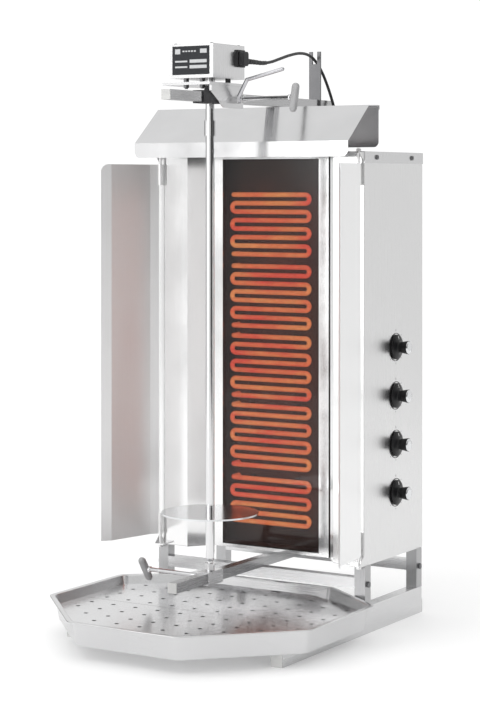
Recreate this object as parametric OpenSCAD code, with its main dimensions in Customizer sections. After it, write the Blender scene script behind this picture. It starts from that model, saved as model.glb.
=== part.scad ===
// Vertical rotisserie broiler: an electric grill that roasts a standing meat spit from one side.
// Millimetres, +Z up, front towards -Y, right-hand side towards +X.
// The origin is on the floor, in the middle of the broiler's footprint.
// Modules are drawn with Y = 0 on the cabinet's front face, and at_front() puts them in place.

/* [Cabinet] */
// Width over the side panels
cab_w = 449; // [444:1:452]
// Depth from the front face to the back panel
cab_d = 236; // [225:1:250]
// Height of the cabinet itself
cab_h = 756; // [740:1:780]
// Height of the cabinet's underside above the floor
cab_z = 124; // [122:1:128]
// Thickness of the stainless sheet
sheet = 1.5; // [1:0.1:2]
// Half width of the heating recess at the front face
recess_front = 160; // [155:1:165]
// Half width of the heating recess at the glass
recess_back = 127; // [124:1:130]
// Depth of the heating recess
recess_d = 43; // [38:1:48]

/* [Stand] */
// Side of the square stand tubes
tube_w = 22; // [20:1:24]
// Wall of every square tube
tube_wall = 1.5; // [1:0.1:2]
// Distance of each skid's centre line from the middle
stand_x = 215; // [212:1:216]
// Height of the skids and of the rails on them
skid_h = 25; // [24:1:26]
// Reach of the skids in front of the cabinet
skid_reach = 296; // [280:1:310]
// Depth of the stand under the cabinet
stand_d = 230; // [225:1:234]
// Height of the two crossbars
crossbar_h = 20; // [18:1:22]
// Depth of the two crossbars
crossbar_d = 20; // [16:1:22]

/* [Heating] */
// Half width of the glass that shows inside its frame
glass_half = 106; // [100:1:108]
// Thickness of the ceramic glass
glass_t = 4; // [3:0.5:5]
// Diameter of a heating tube
element_d = 8.5; // [6:0.5:9]
// Distance between the rows of one heating tube
row_pitch = 16.3; // [15:0.1:17]
// Half width of a heating tube's straight rows
row_half = 77; // [75:1:85]
// Sideways offset of the heating tubes from the middle
element_x = -7; // [-10:1:0]
// Height of the middle of each heating tube
element_z = [743, 606, 472, 339, 216];
// Number of rows in each heating tube
element_rows = [8, 8, 8, 8, 6];

/* [Hood] */
// Half width of the hood
hood_half = 231; // [228:1:236]
// Reach of the hood in front of the cabinet
hood_reach = 75; // [65:1:85]
// Height of the hood's front lip
lip_h = 28; // [20:1:34]

/* [Arms] */
// Side of the two square arm tubes
arm_w = 18; // [17:0.5:19]
// Sideways offset of the upper arm from the middle
upper_arm_x = 22; // [22:0.5:24]
// Height of the upper arm's underside
upper_arm_z = 966; // [966:1:968]
// Reach of the upper arm in front of the cabinet
upper_reach = 345; // [340:1:350]
// Reach of the lower arm in front of the cabinet
lower_reach = 292; // [285:1:300]
// Height of the mast's forked top above the floor
mast_top = 1078; // [1074:1:1084]

/* [Spit] */
// Distance of the spit's axis in front of the cabinet
spit_reach = 170; // [168:1:172]
// Diameter of the spit
spit_d = 16; // [14:0.5:16]
// Diameter of the disc that carries the meat
disc_d = 176; // [160:1:206]
// Height of the disc's upper face
disc_top = 228; // [210:1:260]

/* [Motor] */
// Half width of the motor box
motor_half = 46; // [45:1:48]
// Depth of the motor box
motor_d = 106; // [102:1:110]
// Height of the motor box's top above the floor
motor_top = 1070; // [1066:1:1072]

/* [Wings] */
// Width of a wing's main panel
wing_w = 100; // [90:1:105]
// Angle of the left wing's main panel from straight ahead
left_wing_turn = 13; // [0:1:20]
// Angle of the right wing's main panel from straight ahead
right_wing_turn = 6; // [0:1:20]
// Angle of the bends along a wing
wing_bend = 30; // [20:1:35]

/* [Tray] */
// Half width over the tray's rim
tray_half = 277; // [272:1:282]
// Reach of the tray's rim in front of the cabinet
tray_reach = 452; // [445:1:460]
// Height of the tray
tray_h = 44; // [40:1:48]
// Width of the tray's flat rim
rim_w = 8; // [5:1:10]
// How far each tray wall leans outwards
tray_draft = 9; // [6:1:10]
// Diameter of the drain holes
drain_d = 8; // [6:0.5:10]

/* [Controls] */
// Height of the topmost knob
knob_top_z = 515; // [500:1:530]
// Distance between the knobs
knob_pitch = 90.7; // [80:0.1:95]
// Radius of a knob's skirt
knob_r = 23.5; // [22:0.5:27]

/* [Hidden] */

// Clearance between parts that turn or slide on each other, and around a fastener
slip = 0.05;
skin = 0.01;
$fn = 64;

front_y = (tray_reach - cab_d) / 2;
cab_half = cab_w / 2;
panel_in = cab_half - sheet;
cab_top = cab_z + cab_h;
skirt_h = 21;

rail_top = 2 * skid_h;
crossbar_top = cab_z - arm_w - 4;
leg_bolt_z = crossbar_top - 12;
rear_leg_y = stand_d - tube_w;

// Heating compartment, from the glass backwards
glass_y = recess_d;
frame_y = recess_d - sheet;
element_y = glass_y + glass_t + element_d / 2 + 3;
pan_half = recess_back - 5;
pan_y = 80;
pan_z0 = cab_z + 6;
pan_z1 = cab_top - 6;
insulation_t = 34;
bend_r = row_pitch / 2;
element_sides = 8;
feed_r = 9;
feed_x = row_half + feed_r;
feed_y = pan_y + insulation_t + 12;

// Gland under the bottom plate that the mains cord enters by
mains_x = -150;
mains_y = 180;
mains_bore = 5;

// Hood outline in Y and Z, outer face
hood_lip_z = cab_top - 10;
hood_knee_z = hood_lip_z + lip_h;
hood_top_z = upper_arm_z;
hood_crest = [4.4, hood_top_z - 1.5];
hood_rear_y = recess_d + 4.5;
hood_back_z = cab_top + 8;

// Hinges of the wings
hinge_x = 217;
hinge_y = -8;
hinge_tab_t = 2.5;
hinge_pin_r = 2.5;
barrel_r = 4.5;
barrel_h = 40;
wing_z0 = cab_z + 21;
wing_z1 = cab_top - 22;
wing_t = 1.2;
wing_strip = 20;
ear_d = 16;

// Upper carriage and motor
upper_arm_top = upper_arm_z + arm_w;
sleeve_wall = 2.5;
sleeve_d = 56;
sleeve_y = -243;
plate_z = 997;
plate_t = 5;
plate_x0 = -62;
plate_y0 = -232;
plate_y1 = -112;
cheek_x = upper_arm_x + arm_w / 2 + slip + sleeve_wall;
cheek_t = 3;
plate_x1 = cheek_x + cheek_t + 2;
cheek_z0 = 957;
motor_z0 = 1009;
motor_y1 = plate_y0 + motor_d;
standoff_x = 17;
standoff_y = [-222, -136];
clamp_y = -125;
clamp_z = 975;
clamp_end_x = 158;
lever_y = -145;
lever_path = [[42, 972], [63, 1008], [137, 1025]];
lever_r = 3.5;
inlet_y0 = -155;
inlet_y1 = -130;
inlet_z0 = 1031;
inlet_z1 = 1062;
plug_x0 = motor_half + 4;
plug_x1 = 60;
neck_end_y = -126;

// Lower carriage
lower_arm_z = crossbar_top;
lower_sleeve_d = 50;
cup_z = 123;
cup_floor = 126;
cup_top = 136;
lower_clamp_z = lower_arm_z + arm_w / 2;
lower_clamp_end = 149;

// Spit
spit_r = spit_d / 2;
spit_foot = cup_floor + 0.3;
foot_r = 5;
coupling_z0 = 907;
coupling_z1 = 935;
coupling_r = 10.5;
spigot_r = 6;

// Handles of the two clamp screws
screw_r = 4;
handle_r = 7;
handle_l = 54;
upper_handle_turn = 13;
lower_handle_turn = 34;

// Drip tray outline at the rim, counted from the front left corner
tray_front_half = 111;
tray_side_front = -284;
tray_side_back = -56;
tray_back_half = 134;
tray_back_y = 50;
tray_t = 1.2;
tray_z1 = skid_h + tray_h;
tray_outline = [
    [-tray_front_half, -tray_reach], [tray_front_half, -tray_reach],
    [tray_half, tray_side_front], [tray_half, tray_side_back],
    [tray_back_half, tray_back_y], [-tray_back_half, tray_back_y],
    [-tray_half, tray_side_back], [-tray_half, tray_side_front]
];
tray_floor = skid_h + tray_t;
grid_inset = rim_w + tray_draft + tray_t + 1;
grid_top = 53;
grid_t = 1.5;
grid_seam_y = -202;
grid_gap = 1;
grid_corner_cut = 34;
drain_pitch_x = 48.5;
drain_pitch_y = 42.5;
drain_columns = 10;
front_row_y = -359;
front_rows = 4;
rear_row_y = -184;
rear_rows = 6;
finger_hole = [22, 10];

knob_y = 125;
knob_face = cab_half + 2;
knob_names = ["knob_1", "knob_2", "knob_3", "knob_4"];

// Motor lead: from the plug, over the forked mast, down to the gland on the top cover
lead_d = 5.6;
lead_sides = 8;
lead_steps = 5;
gland_x = 60;
gland_y = 215;
gland_top = cab_top + 16;
lead_route = [
    [55, neck_end_y, 1042], [55, -105, 1042], [54, -75, 1042], [51, -40, 1046], [46, 0, 1054],
    [40, 45, 1063], [33, 95, 1070], [26, 140, 1070], [22, 176, 1060.5], [25, 199, 1038],
    [33, 211, 1005], [43, 217, 965], [53, 217, 925], [gland_x, gland_y, gland_top]
];

// ---------- helpers ----------

module at_front() {
    translate([0, front_y, 0]) children();
}

// A box between two opposite corners
module block(low, high) {
    translate(low) cube(high - low);
}

module both_sides() {
    children();
    mirror([1, 0, 0]) children();
}

// Cylinders along X and along Y, starting at the given point
module x_rod(start, r, l) {
    translate(start) rotate([0, 90, 0]) cylinder(r = r, h = l);
}

module y_rod(start, r, l) {
    translate(start) rotate([-90, 0, 0]) cylinder(r = r, h = l);
}

// A cylinder from one point to another
module strut(from, to, r) {
    run = to - from;
    tilt = acos(run[2] / norm(run));
    turn = atan2(run[1], run[0]);
    translate(from) rotate([0, tilt, turn]) cylinder(r = r, h = norm(run));
}

// Square tubes along X, Y and Z between two corners
module y_tube(low, high, wall) {
    difference() {
        block(low, high);
        block(low + [wall, -1, wall], high + [-wall, 1, -wall]);
    }
}

module x_tube(low, high, wall) {
    difference() {
        block(low, high);
        block(low + [-1, wall, wall], high + [1, -wall, -wall]);
    }
}

module z_tube(low, high, wall) {
    difference() {
        block(low, high);
        block(low + [wall, wall, -1], high + [-wall, -wall, 1]);
    }
}

// A bent sheet seen from its edge: the given path, thickened to its left
function left_of(a, b) = [a[1] - b[1], b[0] - a[0]] / norm(b - a);
function side_at(path, i) =
    let (
        before = left_of(path[max(i - 1, 0)], path[max(i, 1)]),
        after = left_of(path[min(i, len(path) - 2)], path[min(i + 1, len(path) - 1)])
    )
    (before + after) / (1 + before * after);
function thickened(path, t) = concat(
    path,
    [for (i = [len(path) - 1 : -1 : 0]) path[i] + t * side_at(path, i)]
);

// A hexagonal head or nut standing on its start point
module hex(r, h) {
    cylinder(r = r, h = h, $fn = 6);
}

// Half of a bar handle with domed ends, as a lathe profile
function domed(r, l, steps) = concat(
    [[0, -l / 2]],
    [for (i = [1 : steps]) let (a = 90 * i / steps) [r * sin(a), -l / 2 + r - r * cos(a)]],
    [for (i = [steps - 1 : -1 : 1]) let (a = 90 * i / steps) [r * sin(a), l / 2 - r + r * cos(a)]],
    [[0, l / 2]]
);

module bar_handle() {
    rotate_extrude() polygon(domed(handle_r, handle_l, 6));
}

// Points of a smooth line through the route's own points
function on_curve(a, b, c, d, t) =
    0.5 * ((2 * b) + (c - a) * t + (2 * a - 5 * b + 4 * c - d) * t * t + (3 * b - a - 3 * c + d) * t * t * t);
function smooth(p, steps) = concat(
    [for (i = [0 : len(p) - 2], s = [0 : steps - 1])
        on_curve(p[max(i - 1, 0)], p[i], p[i + 1], p[min(i + 2, len(p) - 1)], s / steps)],
    [p[len(p) - 1]]
);
function heading(p, i, first, last) =
    i == 0 ? first
    : i == len(p) - 1 ? last
    : let (d = p[i + 1] - p[i - 1]) d / norm(d);

// Side directions of each ring, carried along the line without twisting
function carried(p, i, first, last, up) =
    i == len(p) ? []
    : let (
        along = heading(p, i, first, last),
        flat = up - (up * along) * along,
        u = flat / norm(flat)
    )
    concat([[u, cross(along, u)]], carried(p, i + 1, first, last, u));

// A round tube swept along a line, with its end faces square to the given directions
module swept(p, r, sides, first, last, up) {
    rings = len(p);
    sideways = carried(p, 0, first, last, up);
    points = [
        for (i = [0 : rings - 1], k = [0 : sides - 1])
            let (a = 360 * k / sides)
            p[i] + r * (cos(a) * sideways[i][0] + sin(a) * sideways[i][1])
    ];
    walls = [
        for (i = [0 : rings - 2], k = [0 : sides - 1])
            let (a = i * sides, b = a + sides, n = (k + 1) % sides)
            each [[a + k, a + n, b + n], [a + k, b + n, b + k]]
    ];
    start_cap = [[for (k = [sides - 1 : -1 : 0]) k]];
    end_cap = [[for (k = [0 : sides - 1]) (rings - 1) * sides + k]];
    polyhedron(points = points, faces = concat(start_cap, walls, end_cap));
}

// ---------- stand ----------

module skids() {
    color("silver") at_front() both_sides()
        y_tube(
            [stand_x - tube_w / 2, -skid_reach, 0],
            [stand_x + tube_w / 2, stand_d, skid_h],
            tube_wall
        );
}

module rails() {
    color("silver") at_front() both_sides()
        y_tube(
            [stand_x - tube_w / 2, 0, skid_h],
            [stand_x + tube_w / 2, stand_d, rail_top],
            tube_wall
        );
}

module legs() {
    color("silver") at_front() both_sides()
        for (y = [0, rear_leg_y])
            difference() {
                z_tube(
                    [stand_x - tube_w / 2, y, rail_top],
                    [stand_x + tube_w / 2, y + tube_w, cab_z],
                    tube_wall
                );
                x_rod([stand_x, y + crossbar_d / 2, leg_bolt_z], 3 + slip, tube_w);
            }
}

module crossbars() {
    half = stand_x - tube_w / 2;
    color("silver") at_front()
        for (y = [0, rear_leg_y])
            x_tube(
                [-half, y, crossbar_top - crossbar_h],
                [half, y + crossbar_d, crossbar_top],
                tube_wall
            );
}

// A plastic plug in the end of a square tube along Y: a face plate and a stem inside the tube
module tube_plug(x, y, z0, w, h, outward) {
    face = 2;
    stem = 10;
    inner = tube_wall + slip;
    block(
        [x - w / 2, min(y, y + outward * face), z0],
        [x + w / 2, max(y, y + outward * face), z0 + h]
    );
    block(
        [x - w / 2 + inner, min(y, y - outward * stem), z0 + inner],
        [x + w / 2 - inner, max(y, y - outward * stem), z0 + h - inner]
    );
}

module end_plugs() {
    color("whitesmoke") at_front() {
        both_sides() tube_plug(stand_x, -skid_reach, 0, tube_w, skid_h, -1);
        both_sides() tube_plug(stand_x, stand_d, 0, tube_w, skid_h, 1);
        tube_plug(0, -lower_reach, lower_arm_z, arm_w, arm_w, -1);
        tube_plug(upper_arm_x, -upper_reach, upper_arm_z, arm_w, arm_w, -1);
    }
}

module frame_bolts() {
    head = 4;
    outer = stand_x + tube_w / 2;
    color("dimgray") at_front() both_sides()
        for (y = [0, rear_leg_y]) {
            x_rod([outer - 10, y + crossbar_d / 2, leg_bolt_z], 3, 10 + head / 2);
            translate([outer, y + crossbar_d / 2, leg_bolt_z]) rotate([0, 90, 0]) hex(5.5, head);
        }
}

// ---------- cabinet ----------

// Plan of the cabinet with the heating recess cut into its front
module cabinet_plan(half, depth) {
    polygon([
        [-half, 0], [-recess_front, 0], [-recess_back, recess_d], [recess_back, recess_d],
        [recess_front, 0], [half, 0], [half, depth], [-half, depth]
    ]);
}

module bottom_plate() {
    color("silver") at_front()
        difference() {
            translate([0, 0, cab_z]) linear_extrude(sheet) cabinet_plan(panel_in, cab_d - sheet);
            translate([mains_x, mains_y, cab_z - 1]) cylinder(r = mains_bore + 1, h = sheet + 2);
        }
}

module top_cover() {
    color("gainsboro") at_front()
        difference() {
            union() {
                translate([0, 0, cab_top - sheet]) linear_extrude(sheet)
                    cabinet_plan(cab_half, cab_d);
                both_sides()
                    block([cab_half, 0, cab_top - skirt_h], [cab_half + sheet, cab_d, cab_top]);
            }
            both_sides() cover_screw_row(2 + slip);
            translate([gland_x, gland_y, cab_top - sheet - 1]) cylinder(r = 4, h = sheet + 2);
        }
}

// The two screws on the right of the top cover's skirt
module cover_screw_row(r) {
    for (y = [46, 188])
        x_rod([panel_in - 3, y, cab_top - skirt_h / 2], r, 3 + 2 * sheet + 1);
}

module cover_screws() {
    head_r = 4.5;
    head_h = 2.2;
    color("silver") at_front() both_sides() {
        cover_screw_row(2);
        for (y = [46, 188])
            x_rod([cab_half + sheet, y, cab_top - skirt_h / 2], head_r, head_h);
    }
}

// A side panel with a pointed ear in front at the top and at the bottom, right-hand side
module side_panel() {
    outline = [
        [0, cab_z], [cab_d - sheet, cab_z], [cab_d - sheet, cab_top - sheet], [0, cab_top - sheet],
        [-ear_d, cab_top - sheet], [-ear_d, cab_top - 4], [0, cab_top - 20],
        [0, cab_z + 20], [-ear_d, cab_z + 4], [-ear_d, cab_z]
    ];
    difference() {
        translate([panel_in, 0, 0]) rotate([90, 0, 90]) linear_extrude(sheet) polygon(outline);
        cover_screw_row(2 + slip);
    }
}

module left_side_panel() {
    color("silver") at_front() mirror([1, 0, 0]) side_panel();
}

module right_side_panel() {
    color("silver") at_front()
        difference() {
            side_panel();
            for (i = [0 : 3])
                x_rod([panel_in - 1, knob_y, knob_top_z - i * knob_pitch], 4, sheet + 2);
        }
}

// A front column: face, splayed recess wall and the two tabs that carry a wing, right-hand side
module column() {
    path = [
        [panel_in, 0], [recess_front, 0], [recess_back + 1, recess_d], [recess_back + 1, recess_d + 30]
    ];
    z0 = cab_z + sheet;
    z1 = cab_top - sheet;
    translate([0, 0, z0]) linear_extrude(z1 - z0) polygon(thickened(path, -sheet));
    for (z = [z0, z1 - hinge_tab_t])
        difference() {
            block([204, -20, z], [panel_in, sheet, z + hinge_tab_t]);
            translate([hinge_x, hinge_y, z - 1]) cylinder(r = hinge_pin_r + slip, h = hinge_tab_t + 2);
        }
}

module left_column() {
    color("silver") at_front() mirror([1, 0, 0]) column();
}

module right_column() {
    color("silver") at_front() column();
}

module back_panel() {
    slot = [5, 60];
    color("silver") at_front()
        difference() {
            block([-cab_half, cab_d - sheet, cab_z], [cab_half, cab_d, cab_top - sheet]);
            for (z = [cab_z + 90, cab_top - 150], x = [-165 : 15 : 165])
                block(
                    [x - slot[0] / 2, cab_d - sheet - 1, z],
                    [x + slot[0] / 2, cab_d + 1, z + slot[1]]
                );
        }
}

module cable_glands() {
    color("black") at_front() {
        // Gland of the motor lead, on the top cover
        difference() {
            translate([gland_x, gland_y, cab_top]) union() {
                hex(9, 6);
                translate([0, 0, 6]) cylinder(r1 = 7.5, r2 = 5, h = gland_top - cab_top - 6);
            }
            translate([gland_x, gland_y, cab_top - 1]) cylinder(r = 2, h = gland_top - cab_top + 2);
        }
        // Gland of the mains cord, under the bottom plate
        difference() {
            translate([mains_x, mains_y, cab_z - 18]) union() {
                cylinder(r = 9, h = 12);
                translate([0, 0, 12]) hex(12, 6);
            }
            translate([mains_x, mains_y, cab_z - 19]) cylinder(r = mains_bore, h = 20);
        }
    }
}

// ---------- heating ----------

module glass_frame() {
    outer = recess_back;
    color("gainsboro") at_front()
        difference() {
            block([-outer, frame_y, cab_z], [outer, glass_y, cab_top]);
            block([-glass_half, frame_y - 1, cab_z + 6], [glass_half, glass_y + 1, cab_top - 12]);
        }
}

module ceramic_glass() {
    color([0.1, 0.1, 0.1]) at_front()
        block([-pan_half + 2, glass_y, cab_z + 3], [pan_half - 2, glass_y + glass_t, cab_top - 3]);
}

module feed_holes(y0, y1, r) {
    for (i = [0 : len(element_z) - 1])
        for (end = [-1, 1])
            y_rod(
                [element_x - feed_x, y0, element_z[i] + end * (element_rows[i] - 1) * row_pitch / 2],
                r,
                y1 - y0
            );
}

module reflector_pan() {
    color("lightgray") at_front()
        difference() {
            block([-pan_half, glass_y + glass_t + 1, pan_z0], [pan_half, pan_y, pan_z1]);
            block(
                [-pan_half + sheet, glass_y, pan_z0 + sheet],
                [pan_half - sheet, pan_y - sheet, pan_z1 - sheet]
            );
            feed_holes(pan_y - 5, pan_y + 5, element_d / 2 + 1);
        }
}

module insulation() {
    color("ivory") at_front()
        difference() {
            block([-pan_half, pan_y, pan_z0], [pan_half, pan_y + insulation_t, pan_z1]);
            feed_holes(pan_y - 5, pan_y + insulation_t + 5, element_d / 2 + 1);
        }
}

// One heating tube: straight rows joined by half rings, with both ends fed through the back
function half_ring(x, z) = [
    for (a = [-90 : 45 : 90]) [x + sign(x) * bend_r * cos(a), element_y, z - bend_r * sin(a)]
];
function feed(z) = concat(
    [[-feed_x, feed_y, z]],
    [for (a = [0 : 45 : 90]) [-row_half - feed_r * cos(a), element_y + feed_r - feed_r * sin(a), z]]
);
function reversed(p) = [for (i = [len(p) - 1 : -1 : 0]) p[i]];

module heating_element(index) {
    rows = element_rows[index];
    top = element_z[index] + (rows - 1) * row_pitch / 2;
    rows_path = [
        for (i = [0 : rows - 2])
            each half_ring(i % 2 == 0 ? row_half : -row_half, top - (i + 0.5) * row_pitch)
    ];
    path = concat(feed(top), rows_path, reversed(feed(top - (rows - 1) * row_pitch)));
    color("orangered") at_front() translate([element_x, 0, 0])
        swept(path, element_d / 2, element_sides, [0, -1, 0], [0, 1, 0], [0, 0, 1]);
}

module heating_element_1() {
    heating_element(0);
}

module heating_element_2() {
    heating_element(1);
}

module heating_element_3() {
    heating_element(2);
}

module heating_element_4() {
    heating_element(3);
}

module heating_element_5() {
    heating_element(4);
}

// Upright strips behind the rows, standing off the reflector pan
module element_clips() {
    y0 = element_y + element_d / 2 + slip;
    strip_t = 1.5;
    color("silver") at_front()
        for (i = [0 : len(element_z) - 1], x = [element_x - 50, element_x + 50]) {
            reach = element_rows[i] * row_pitch / 2;
            block([x - 3, y0, element_z[i] - reach], [x + 3, y0 + strip_t, element_z[i] + reach]);
            for (z = [-reach + 5, reach - 5])
                y_rod([x, y0, element_z[i] + z], 2.5, pan_y - sheet - y0);
        }
}

module terminal_block() {
    color("ivory") at_front()
        difference() {
            block([-70, 185, cab_z + sheet], [30, 215, cab_z + sheet + 26]);
            for (x = [-55 : 15 : 20])
                block([x - 5, 190, cab_z + sheet + 18], [x + 5, 210, cab_z + sheet + 30]);
        }
}

module regulators() {
    color("dimgray") at_front()
        for (i = [0 : 3])
            translate([0, knob_y, knob_top_z - i * knob_pitch])
                difference() {
                    block([panel_in - 36, -20, -24], [panel_in, 20, 24]);
                    x_rod([panel_in - 26, 0, 0], 3 + slip, 27);
                }
}

// ---------- controls ----------

module knob(index) {
    skirt = 6;
    grip_root_r = 9.5;
    grip_end_r = 12.5;
    grip_l = 19;
    cap_r = 11.5;
    cap_l = 1.5;
    color([0.12, 0.12, 0.12]) at_front()
        translate([knob_face, knob_y, knob_top_z - index * knob_pitch]) {
            x_rod([0, 0, 0], knob_r, 2);
            translate([2, 0, 0]) rotate([0, 90, 0])
                cylinder(r1 = knob_r, r2 = knob_r - 6, h = skirt - 2);
            translate([skirt - 1, 0, 0]) rotate([0, 90, 0])
                cylinder(r1 = grip_root_r, r2 = grip_end_r, h = grip_l + 1);
            x_rod([skirt + grip_l - 1, 0, 0], cap_r, cap_l + 1);
            x_rod([-24, 0, 0], 3, 25);
        }
}

module knob_1() {
    knob(0);
}

module knob_2() {
    knob(1);
}

module knob_3() {
    knob(2);
}

module knob_4() {
    knob(3);
}

// ---------- hood, arms and mast ----------

module hood() {
    path = [
        [-hood_reach, hood_lip_z], [-hood_reach, hood_knee_z], hood_crest,
        [hood_rear_y, hood_top_z], [hood_rear_y, hood_top_z - 9]
    ];
    corner = 12;
    color("gainsboro") at_front()
        difference() {
            translate([-hood_half, 0, 0]) rotate([90, 0, 90]) linear_extrude(2 * hood_half)
                polygon(thickened(path, -sheet));
            both_sides() difference() {
                block(
                    [hood_half - corner, -hood_reach - 1, hood_lip_z - 1],
                    [hood_half + 1, -hood_reach + 5, hood_lip_z + corner]
                );
                y_rod(
                    [hood_half - corner, -hood_reach - 2, hood_lip_z + corner],
                    corner,
                    8
                );
            }
        }
}

// Upright plate that closes the hood at the back, on two feet
module hood_back() {
    half = hood_half;
    foot = [30, 16];
    y0 = recess_d - 0.5;
    corner = 10;
    color("gainsboro") at_front() {
        difference() {
            block([-half, y0, hood_back_z], [half, y0 + sheet, hood_top_z - 2]);
            both_sides() difference() {
                block([half - corner, y0 - 1, hood_back_z - 1], [half + 1, y0 + 3, hood_back_z + corner]);
                y_rod([half - corner, y0 - 2, hood_back_z + corner], corner, 6);
            }
        }
        both_sides() {
            block([150 - foot[0] / 2, y0, cab_top], [150 + foot[0] / 2, y0 + sheet, hood_back_z + 1]);
            block([150 - foot[0] / 2, y0, cab_top], [150 + foot[0] / 2, y0 + foot[1], cab_top + sheet]);
        }
    }
}

module upper_arm() {
    color("silver") at_front()
        y_tube(
            [upper_arm_x - arm_w / 2, -upper_reach, upper_arm_z],
            [upper_arm_x + arm_w / 2, cab_d - 5, upper_arm_top],
            tube_wall
        );
}

module lower_arm() {
    color("silver") at_front()
        y_tube(
            [-arm_w / 2, -lower_reach, lower_arm_z],
            [arm_w / 2, rear_leg_y + crossbar_d, lower_arm_z + arm_w],
            tube_wall
        );
}

// Forked plate that holds the upper arm's rear end and guides the motor lead
module mast() {
    y0 = 174;
    plate = 4;
    half = 12.5;
    notch = 11;
    notch_z = mast_top - 24;
    hole = arm_w / 2 + slip;
    color("silver") at_front() {
        difference() {
            block([upper_arm_x - half, y0, cab_top], [upper_arm_x + half, y0 + plate, mast_top]);
            block(
                [upper_arm_x - hole, y0 - 1, upper_arm_z - slip],
                [upper_arm_x + hole, y0 + plate + 1, upper_arm_top + slip]
            );
            block(
                [upper_arm_x - notch / 2, y0 - 1, notch_z],
                [upper_arm_x + notch / 2, y0 + plate + 1, mast_top + 1]
            );
        }
        block(
            [upper_arm_x - half - 8, y0 - 14, cab_top],
            [upper_arm_x + half + 8, y0 + plate + 14, cab_top + 3]
        );
        for (x = [upper_arm_x - half, upper_arm_x + half - 2])
            block([x, y0 - 10, cab_top], [x + 2, y0 + 1, cab_top + 40]);
    }
}

// ---------- upper carriage and motor ----------

// Sleeve that slides on the upper arm
module carriage_sleeve() {
    half = arm_w / 2 + slip;
    z_mid = upper_arm_z + arm_w / 2;
    color([0.2, 0.2, 0.2]) at_front()
        y_tube(
            [upper_arm_x - half - sleeve_wall, sleeve_y, z_mid - half - sleeve_wall],
            [upper_arm_x + half + sleeve_wall, sleeve_y + sleeve_d, z_mid + half + sleeve_wall],
            sleeve_wall
        );
}

// Plate under the motor, with the cheek beside the arm, the clamp's nut and the lever's lugs
module carriage_plate() {
    cheek = [
        [plate_y0 + 7, plate_z + 1], [plate_y0 + 7, plate_z - 12], [-180, cheek_z0],
        [plate_y1 - 3, cheek_z0], [plate_y1 - 3, plate_z + 1]
    ];
    lug_t = 3;
    lug_gap = 5.2;
    color("silver") at_front() {
        difference() {
            union() {
                block([plate_x0, plate_y0, plate_z], [plate_x1, plate_y1 - 3, plate_z + plate_t]);
                translate([cheek_x, 0, 0]) rotate([90, 0, 90]) linear_extrude(cheek_t) polygon(cheek);
                x_rod([cheek_x + cheek_t - 1, clamp_y, clamp_z], 7, 10.5);
                block(
                    [cheek_x + 1, plate_y0 + 7, plate_z - 12],
                    [plate_x1, plate_y0 + 10, plate_z + 1]
                );
            }
            translate([0, -spit_reach, plate_z - 1]) cylinder(r = coupling_r, h = plate_t + 2);
            for (x = [-standoff_x, standoff_x], y = standoff_y)
                translate([x, y, plate_z - 1]) cylinder(r = 3 + slip, h = plate_t + 2);
            x_rod([cheek_x - 1, clamp_y, clamp_z], screw_r + slip, 16);
        }
        // Lugs and pin of the release lever
        for (y = [lever_y - lug_gap - lug_t, lever_y + lug_gap])
            block(
                [cheek_x + 1, y, lever_path[0][1] - 6],
                [lever_path[0][0] + 5, y + lug_t, lever_path[0][1] + 6]
            );
        y_rod(
            [lever_path[0][0], lever_y - lug_gap - lug_t - 2, lever_path[0][1]],
            2.5,
            2 * (lug_gap + lug_t + 2)
        );
    }
}

module shaft_bearing() {
    color("dimgray") at_front()
        translate([0, -spit_reach, 987])
            difference() {
                cylinder(r = coupling_r, h = plate_z + plate_t - 987);
                translate([0, 0, -1]) cylinder(r = spit_r + slip, h = 30);
            }
}

// Spacers and nuts between the plate and the motor box, and the lid's screws
module motor_screws() {
    color("silver") at_front() {
        for (x = [-standoff_x, standoff_x], y = standoff_y)
            translate([x, y, 0]) {
                translate([0, 0, plate_z - 7]) cylinder(r = 3, h = plate_t + 8);
                translate([0, 0, plate_z - 5]) hex(5.5, 5);
                translate([0, 0, plate_z + plate_t]) hex(5.5, motor_z0 - plate_z - plate_t);
            }
        for (x = [-motor_half + 8, motor_half - 8], y = [plate_y0 + 8, motor_y1 - 8])
            translate([x, y, motor_top]) cylinder(r1 = 3.2, r2 = 2.4, h = 1.6);
    }
}

module motor_housing() {
    color("silver") at_front()
        difference() {
            block([-motor_half, plate_y0, motor_z0], [motor_half, motor_y1, motor_top - sheet]);
            block(
                [-motor_half + sheet, plate_y0 + sheet, motor_z0 + sheet],
                [motor_half - sheet, motor_y1 - sheet, motor_top]
            );
            translate([0, -spit_reach, motor_z0 - 1]) cylinder(r = coupling_r, h = sheet + 2);
        }
}

module motor_lid() {
    color("gainsboro") at_front()
        block([-motor_half, plate_y0, motor_top - sheet], [motor_half, motor_y1, motor_top]);
}

// Motor and gearbox inside the box, with a bore that takes the drive shaft
module gear_motor() {
    gearbox_z = motor_z0 + sheet;
    color("dimgray") at_front()
        difference() {
            union() {
                block([-34, -218, gearbox_z], [34, -138, gearbox_z + 22]);
                y_rod([0, -215, gearbox_z + 35], 18, 74);
            }
            translate([0, -spit_reach, gearbox_z - 1]) cylinder(r = spit_r + slip, h = 13.5);
        }
}

module label_plate() {
    color([0.2, 0.2, 0.22]) at_front()
        block([-40, plate_y0 - 0.8, 1015], [38, plate_y0, 1066]);
}

module power_inlet() {
    color([0.1, 0.1, 0.1]) at_front()
        block([motor_half, inlet_y0, inlet_z0], [plug_x0, inlet_y1, inlet_z1]);
}

// Angled plug on the inlet, with its neck towards the rear
module motor_plug() {
    neck_r = 4.5;
    color([0.1, 0.1, 0.1]) at_front() {
        block([plug_x0, inlet_y0 + 2, inlet_z0 + 2], [plug_x1, inlet_y1 - 2, inlet_z1 - 3]);
        y_rod([55, inlet_y1 - 5, lead_route[0][2]], neck_r, neck_end_y - inlet_y1 + 5);
    }
}

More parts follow.
